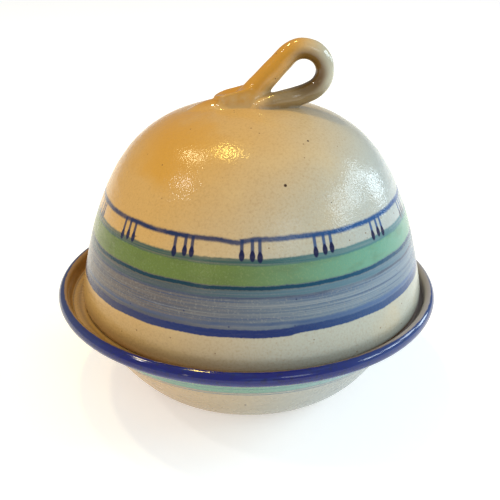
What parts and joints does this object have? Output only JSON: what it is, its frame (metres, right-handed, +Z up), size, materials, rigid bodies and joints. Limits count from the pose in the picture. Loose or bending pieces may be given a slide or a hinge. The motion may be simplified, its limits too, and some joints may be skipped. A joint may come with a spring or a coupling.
{
  "type": "butter crock",
  "caption": "Hand-thrown stoneware butter crock: a tall dome lid with a looped clay handle that lifts off a shallow footed dish with a rolled rim, with painted slip bands.",
  "frame": {"origin": "centre of the dish's foot ring, on the table plane", "axes": "+Z up, out of the dish; +X towards the side that the handle's loop leans to, in the plane y = 0; -Y is the front, with the loop leaning right"},
  "size_m": [0.17, 0.17, 0.1526],
  "materials": {
    "dish_glaze": "satin salt glaze over cream slip, cobalt rim",
    "dome_glaze": "satin salt glaze over cream slip, blue and green painted bands",
    "handle_glaze": "satin salt glaze, honey where it pools"
  },
  "bodies": {
    "dish": {"dish": "dish_glaze"},
    "lid": {"lid_dome": "dome_glaze", "lid_handle": "handle_glaze"}
  },
  "joints": [
    {"name": "lid_lift", "type": "slide", "parent": "dish", "child": "lid", "axis": [0, 0, 1], "range_m": [0, 0.12]}
  ]
}
